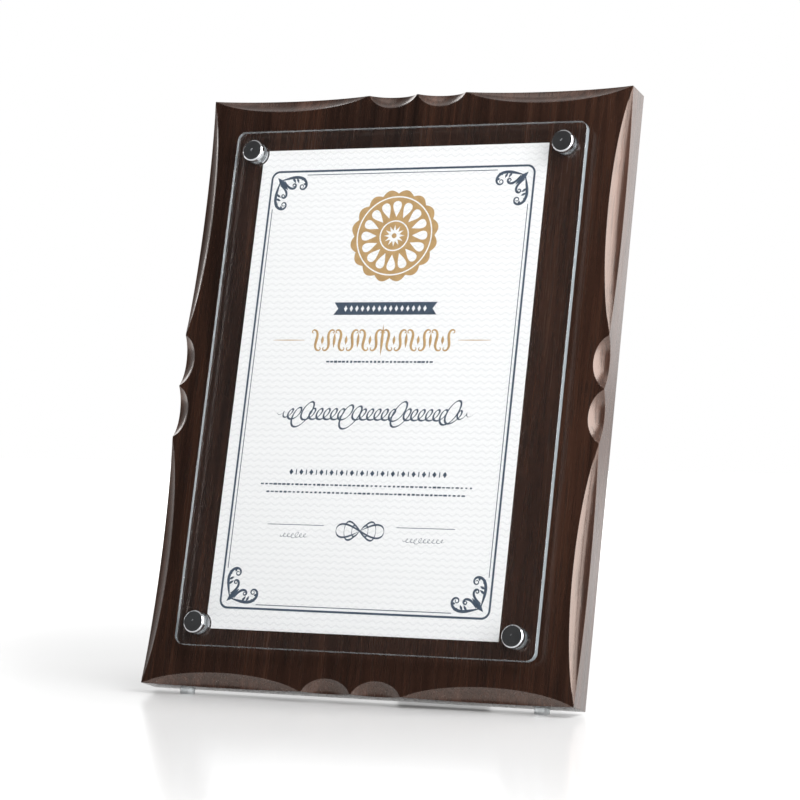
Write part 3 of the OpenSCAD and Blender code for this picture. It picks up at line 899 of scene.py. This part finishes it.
def sealTree(s):
    inputs = {"Radius": 1.0, "Lobes": 1.0, "Lobe Depth": 0.1, "Petals": 2, "Ink": goldInk}
    tree, given = newTree("lobedSeal", inputs)
    place = tree.nodes.new("GeometryNodeInputPosition").outputs[0]
    spot = addNode(tree, "ShaderNodeSeparateXYZ", {"Vector": place})
    angle = calc(tree, "ARCTAN2", spot.outputs["Y"], spot.outputs["X"])

    def circle(share, steps=96):
        values = {"Resolution": steps, "Radius": times(tree, given["Radius"], share)}
        return shape(tree, "CurvePrimitiveCircle", values)

    wave = calc(tree, "SINE", times(tree, angle, times(tree, given["Lobes"], 0.5)))
    dip = minus(tree, 1.0, calc(tree, "ABSOLUTE", wave))
    lobe = minus(tree, 1.0, times(tree, given["Lobe Depth"], dip))
    scaled = addNode(tree, "ShaderNodeVectorMath", {0: place, 3: lobe}, operation="SCALE").outputs[0]
    rim = shape(tree, "SetPosition", {"Geometry": circle(1.0, 320), "Position": scaled})

    drop = circle(0.175, 24)  # a petal, pointed towards the middle
    taper = calc(tree, "MULTIPLY_ADD", over(tree, spot.outputs["X"], given["Radius"]), 2.1, 0.46)
    slimmed = vector(tree, spot.outputs["X"], times(tree, spot.outputs["Y"], taper), 0.0)
    drop = shape(tree, "SetPosition", {"Geometry": drop, "Position": slimmed})
    stand = {"Vertices": given["Petals"], "Radius": times(tree, given["Radius"], 0.58)}
    stand = shape(tree, "MeshCircle", stand)
    ringed = {"Points": stand, "Instance": drop, "Rotation": vector(tree, 0.0, 0.0, angle)}
    petals = shape(tree, "InstanceOnPoints", ringed)
    petals = shape(tree, "RealizeInstances", {"Geometry": petals})
    star = {"Points": 12, "Inner Radius": times(tree, given["Radius"], 0.12),
            "Outer Radius": times(tree, given["Radius"], 0.235)}
    star = shape(tree, "CurveStar", star)
    outerRing, innerRing = [circle(0.86, 128), circle(0.83, 128)], [circle(0.335), circle(0.305)]
    curves = joined(tree, [rim, *outerRing, petals, *innerRing, star, circle(0.055, 24)])
    flat = shape(tree, "FillCurve", {"Curve": curves})
    finishTree(tree, moved(tree, inkSolid(tree, flat), (*s["middle"], 0)), given["Ink"])
    return tree


def makeSeal(s):
    values = {"Radius": s["radius"], "Lobes": float(s["lobes"]), "Lobe Depth": s["lobeDepth"],
              "Petals": s["petals"], "Ink": goldInk}
    addPrint("sealPrint", sealTree(s), values)


makeSeal(sealSet)


# Ribbon: a slate bar with notched ends and open lozenges along it

ribbonSet = {"middle": (-4.0, 43.1), "length": 61.0, "height": 7.0, "notch": 2.6, "count": 15,
             "pitch": 3.35, "lozenge": 1.05}


def centredRow(tree, count, pitch):
    start = times(tree, minus(tree, count, 1.0), times(tree, pitch, -0.5))
    row = {"Count": count, "Start Location": vector(tree, start, 0.0, 0.0),
           "Offset": vector(tree, pitch, 0.0, 0.0)}
    return shape(tree, "MeshLine", row)


def ribbonTree(s):
    tree, given = newTree("ribbon", {"Count": 2, "Pitch": 1.0, "Lozenge": 1.0, "Ink": slateInk})
    outline = shape(tree, "MeshToCurve", {"Mesh": given["Geometry"]})
    row = centredRow(tree, given["Count"], given["Pitch"])
    gem = {"Resolution": 4, "Radius": given["Lozenge"]}
    gem = moved(tree, shape(tree, "CurvePrimitiveCircle", gem), size=(1, 1.7, 1))
    gems = shape(tree, "InstanceOnPoints", {"Points": row, "Instance": gem})
    gems = shape(tree, "RealizeInstances", {"Geometry": gems})
    flat = shape(tree, "FillCurve", {"Curve": joined(tree, [outline, gems])})
    finishTree(tree, moved(tree, inkSolid(tree, flat), (*s["middle"], 0)), given["Ink"])
    return tree


def makeRibbon(s):
    x, y, notch = s["length"] / 2, s["height"] / 2, s["notch"]
    corners = [(-x, -y), (x, -y), (x - notch, 0), (x, y), (-x, y), (notch - x, 0)]
    seed = bpy.data.meshes.new("ribbonOutline")
    seed.from_pydata([(*c, 0) for c in corners], [(i, (i + 1) % 6) for i in range(6)], [])
    values = {"Count": s["count"], "Pitch": s["pitch"], "Lozenge": s["lozenge"], "Ink": slateInk}
    addPrint("ribbonPrint", ribbonTree(s), values, seed)


makeRibbon(ribbonSet)


# Heading: a gold band of mirrored scrolls between two short rules

headingSet = {
    "middle": (-3.75, 25.5), "count": 12, "pitch": 7.1, "high": 11.4, "slant": 62,
    "thin": 0.45, "thick": 1.65,
    "bends": (1.25, 0.62, 0.34, 0.2, 0.1, 0.02, -0.02, -0.1, -0.2, -0.34, -0.62, -1.25), "curlLength": 30,
    "midLeaf": 17.0, "longLeaf": 8.5, "shortLeaf": 5.0,
    "rules": ((-69.0, -50.0), (40.5, 59.5)), "ruleHigh": 0.5,
}


def scroll(s, middle, way):  # an S with a volute at each end, leaning to one side
    line = curl((0, 0), 0, s["curlLength"], s["bends"], 90)
    (ax, ay), (bx, by) = line[0], line[-1]
    turn = math.radians(s["slant"]) - math.atan2(by - ay, bx - ax)
    turned = []
    for x, y in line:
        x, y = x - (ax + bx) / 2, y - (ay + by) / 2
        turned.append((x * math.cos(turn) - y * math.sin(turn), x * math.sin(turn) + y * math.cos(turn)))
    heights = [y for x, y in turned]
    size = s["high"] / (max(heights) - min(heights))
    return [(middle[0] + way * x * size, middle[1] + y * size) for x, y in turned]


def makeHeading(s):
    strokes = []
    across, up = s["middle"]
    for i in range(s["count"]):
        spot = across + (i - (s["count"] - 1) / 2) * s["pitch"]
        line = scroll(s, (spot, up), 1 if i % 2 else -1)
        strokes.append((line, swell(line, s["thin"], s["thick"])))
    for i in range(1, s["count"]):
        spot = across + (i - s["count"] / 2) * s["pitch"]
        tall = s["midLeaf"] if i * 2 == s["count"] else s["shortLeaf"] if i % 2 else s["longLeaf"]
        leaf = [(spot, up - tall / 2 + tall * j / 16) for j in range(17)]
        strokes.append((leaf, swell(leaf, s["thin"] / 3, s["thick"])))
    for low, high in s["rules"]:
        line = [(low + (high - low) * i / 12, up) for i in range(13)]
        strokes.append((line, swell(line, s["ruleHigh"] * 0.4, s["ruleHigh"])))
    addStrokes("headingScrolls", strokes, goldInk)


makeHeading(headingSet)


# Fine rows: short dashes where small print would be, and a row of lozenges and bars for the title

rowSet = {
    "smallRow": {"middle": (-4.0, 13.5), "length": 64.0, "pitch": 2.35, "high": 1.25, "seed": 3},
    "upperRow": {"middle": (-4.0, -54.3), "length": 126.0, "pitch": 2.6, "high": 1.05, "seed": 11},
    "lowerRow": {"middle": (-4.0, -58.5), "length": 118.0, "pitch": 2.6, "high": 1.05, "seed": 29},
}
titleSet = {"middle": (-3.5, -47.5), "count": 31, "pitch": 3.0, "high": 3.4}


def dashTree():
    inputs = {"Count": 2, "Pitch": 1.0, "High": 1.0, "Seed": 1, "Across": 0.0, "Up": 0.0, "Ink": slateInk}
    tree, given = newTree("dashRow", inputs)
    row = centredRow(tree, given["Count"], given["Pitch"])
    dash = {"Size": vector(tree, given["Pitch"], given["High"], inkThick)}
    dash = shape(tree, "MeshCube", dash)
    shares = []
    for seed, low, high in ((given["Seed"], 0.42, 0.86), (plus(tree, given["Seed"], 5.0), 0.62, 1.0)):
        share = addNode(tree, "FunctionNodeRandomValue", {"Seed": seed}, data_type="FLOAT")
        share.inputs[2].default_value, share.inputs[3].default_value = low, high
        shares.append(share.outputs[1])
    sizes = vector(tree, *shares, 1.0)
    placed = {"Points": row, "Instance": dash, "Scale": sizes}
    dashes = shape(tree, "InstanceOnPoints", placed)
    spot = vector(tree, given["Across"], given["Up"], inkLevel + inkThick / 2)
    finishTree(tree, moved(tree, dashes, spot), given["Ink"])
    return tree


def titleTree():
    inputs = {"Count": 2, "Pitch": 1.0, "High": 1.0, "Across": 0.0, "Up": 0.0, "Ink": slateInk}
    tree, given = newTree("titleRow", inputs)
    row = centredRow(tree, given["Count"], given["Pitch"])
    number = tree.nodes.new("GeometryNodeInputIndex").outputs[0]
    odd = calc(tree, "MODULO", number, 2.0)
    gem = {"Vertices": 4, "Radius": times(tree, given["High"], 0.5), "Depth": inkThick}
    gem = moved(tree, shape(tree, "MeshCylinder", gem), size=(0.72, 1.0, 1.0))
    gems = {"Points": row, "Instance": gem, "Selection": minus(tree, 1.0, odd)}
    bar = {"Size": vector(tree, 0.62, times(tree, given["High"], 0.8), inkThick)}
    bar = shape(tree, "MeshCube", bar)
    bars = {"Points": row, "Instance": bar, "Selection": odd}
    pieces = [shape(tree, "InstanceOnPoints", values) for values in (gems, bars)]
    spot = vector(tree, given["Across"], given["Up"], inkLevel + inkThick / 2)
    finishTree(tree, moved(tree, joined(tree, pieces), spot), given["Ink"])
    return tree


def makeRows(rows, title):
    tree = dashTree()
    for name, s in rows.items():
        across, up = s["middle"]
        values = {"Count": round(s["length"] / s["pitch"]), "Pitch": s["pitch"], "High": s["high"],
                  "Seed": s["seed"], "Across": across, "Up": up, "Ink": slateInk}
        addPrint(name, tree, values)
    across, up = title["middle"]
    values = {"Count": title["count"], "Pitch": title["pitch"], "High": title["high"],
              "Across": across, "Up": up, "Ink": slateInk}
    addPrint("titleRow", titleTree(), values)


makeRows(rowSet, titleSet)


# Name line, signature rules and the knot between them: pen loops

penSet = {
    "name": {"middle": (-4.0, -15.5), "length": 116.0, "loops": 27, "high": 3.0, "sway": 2.3,
             "slant": 0.5, "thin": 0.40, "thick": 1.25, "tall": 1.7, "beats": 8.0},
    "leftSign": {"middle": (-42.5, -82.0), "length": 17.0, "loops": 7, "high": 1.0, "sway": 0.9,
                 "slant": 0.5, "thin": 0.12, "thick": 0.36, "tall": 0.8, "beats": 2.0},
    "rightSign": {"middle": (33.5, -83.0), "length": 25.0, "loops": 10, "high": 1.0, "sway": 0.9,
                  "slant": 0.5, "thin": 0.12, "thick": 0.36, "tall": 0.8, "beats": 3.0},
    "rules": ((-59.0, -25.5), (17.0, 50.5)),
    "ruleUp": -76.3,
    "ruleHigh": 0.36,
    "knot": {"middle": (-4.0, -78.7), "wide": 14.0, "high": 5.0, "thin": 0.22, "thick": 1.0},
}


def penLoops(s):  # a running row of slanted loops, some of them taller
    line = []
    steps = s["loops"] * 22
    for i in range(steps + 1):
        t = i / steps
        swing = 2 * math.pi * s["loops"] * t
        ends = min(1.0, 12 * t, 12 * (1 - t))
        grow = ends * (1 + s["tall"] * max(0.0, math.cos(math.pi * (s["beats"] * t + 0.9))) ** 10)
        up = s["high"] * grow * math.cos(swing)
        back = s["sway"] * (0.4 + 0.6 * grow) * ends * math.sin(swing)
        x = s["length"] * (t - 0.5) - back + s["slant"] * up
        line.append((s["middle"][0] + x, s["middle"][1] + up))
    return line, penWidths(line, s["thin"], s["thick"])


def makePenWork(s):
    strokes = [penLoops(s["name"])]
    addStrokes("nameFlourish", strokes, slateInk)

    strokes = [penLoops(s["leftSign"]), penLoops(s["rightSign"])]
    for low, high in s["rules"]:
        line = [(low + (high - low) * i / 12, s["ruleUp"]) for i in range(13)]
        strokes.append((line, [s["ruleHigh"]] * 13))
    addStrokes("signaturePrint", strokes, slateInk, 0.1)

    knot = s["knot"]
    strokes = []
    for wide, high in ((1.0, 0.72), (0.66, 1.0), (0.34, 0.6)):
        line = []
        for i in range(121):
            swing = 2 * math.pi * i / 120
            line.append((knot["middle"][0] + knot["wide"] * wide * math.sin(swing),
                         knot["middle"][1] + knot["high"] * high * math.sin(2 * swing)))
        strokes.append((line, penWidths(line, knot["thin"], knot["thick"], 90)))
    addStrokes("knotPrint", strokes, slateInk)


makePenWork(penSet)
print("sheet printed")


# Stage: a pale floor, a bright room with one dark side, and soft lamps

stageSet = {
    "floorSize": 5.0,
    "floor": (0.78, 0.78, 0.78, 1),
    "glowFrom": 0.25,
    "glowTo": 1.3,
    "glowNear": 0.08,
    "glowFar": 1.0,
    "room": 0.56,
    "dark": 0.07,
    "darkShift": 0.25,
    "behind": 0.15,
}
lampSet = {
    "overhead": {"turn": -14, "rise": 66, "far": 1.7, "size": 1.0, "power": 3.5},
    "rightFront": {"turn": 40, "rise": 24, "far": 1.8, "size": 0.5, "tall": 1.6, "power": 9},
    "rightSide": {"turn": 84, "rise": 24, "far": 1.8, "size": 2.0, "power": 76},
    "rightBack": {"turn": 154, "rise": 18, "far": 2.2, "size": 1.5, "power": 10},
    "leftBack": {"turn": 235, "rise": 25, "far": 2.2, "size": 1.4, "power": 16},
}


def makeFloor(s):
    mesh = bpy.data.meshes.new("paleFloor")
    half = s["floorSize"] / 2
    corners = [(-half, -half, 0), (half, -half, 0), (half, half, 0), (-half, half, 0)]
    mesh.from_pydata(corners, [], [(0, 1, 2, 3)])
    floor = bpy.data.objects.new("paleFloor", mesh)
    scene.collection.objects.link(floor)
    material, tree, shader = newMaterial("paleFloor")
    place = addNode(tree, "ShaderNodeTexCoord").outputs["Object"]
    cloud = noise(tree, place, 4.0, 3.0)
    far = addNode(tree, "ShaderNodeVectorMath", {0: place}, operation="LENGTH").outputs["Value"]
    glow = {"Value": far, "From Min": s["glowFrom"], "From Max": s["glowTo"],
            "To Min": s["glowNear"], "To Max": s["glowFar"]}
    glow = addNode(tree, "ShaderNodeMapRange", glow, interpolation_type="SMOOTHSTEP").outputs[0]
    shader.inputs["Base Color"].default_value = s["floor"]
    shader.inputs["Emission Color"].default_value = (1, 1, 1, 1)
    connect(tree, shader, {"Roughness": span(tree, cloud, 0.16, 0.22), "Emission Strength": glow})
    mesh.materials.append(material)


def makeRoom(s):
    world = bpy.data.worlds.new("paleRoom")
    world.use_nodes = True
    tree = world.node_tree
    shader = tree.nodes["Background"]
    turn, tilt = cameraSet["turn"], cameraSet["tilt"]
    ahead = Vector((-math.sin(turn) * math.cos(tilt), math.cos(turn) * math.cos(tilt), -math.sin(tilt)))
    mirrored = ahead.reflect(outWay) + Vector((s["darkShift"], 0, 0))  # where the front of the board looks
    mirrored.normalize()
    way = addNode(tree, "ShaderNodeTexCoord").outputs["Generated"]
    facing = {0: way, 1: mirrored}
    facing = addNode(tree, "ShaderNodeVectorMath", facing, operation="DOT_PRODUCT").outputs["Value"]
    level = {"Value": facing, "From Min": 0.45, "From Max": 0.86, "To Min": s["room"], "To Max": s["dark"]}
    level = addNode(tree, "ShaderNodeMapRange", level).outputs[0]
    seen = addNode(tree, "ShaderNodeLightPath").outputs["Is Camera Ray"]
    along = addNode(tree, "ShaderNodeSeparateXYZ", {"Vector": way}).outputs["Y"]
    level = plus(tree, level, span(tree, along, 0.0, s["behind"], 0.05, 0.7))
    strength = plus(tree, times(tree, level, minus(tree, 1.0, seen)), seen)
    tree.links.new(strength, shader.inputs["Strength"])
    shader.inputs["Color"].default_value = (1, 1, 1, 1)
    scene.world = world


def makeLamp(name, s):
    turn, rise = math.radians(s["turn"]), math.radians(s["rise"])
    way = Vector((math.sin(turn) * math.cos(rise), -math.cos(turn) * math.cos(rise), math.sin(rise)))
    data = bpy.data.lights.new(name, "AREA")
    data.shape = "RECTANGLE"
    data.size, data.size_y = s["size"], s.get("tall", s["size"])
    data.energy = s["power"]
    lamp = bpy.data.objects.new(name, data)
    scene.collection.objects.link(lamp)
    turned = way.to_track_quat("Z", "Y").to_matrix().to_4x4()
    lamp.matrix_world = Matrix.Translation(faceMiddle + way * s["far"]) @ turned


makeFloor(stageSet)
makeRoom(stageSet)
for lampName, lampValues in lampSet.items():
    makeLamp(lampName, lampValues)
scene.view_settings.view_transform = "Standard"
print("stage lit")
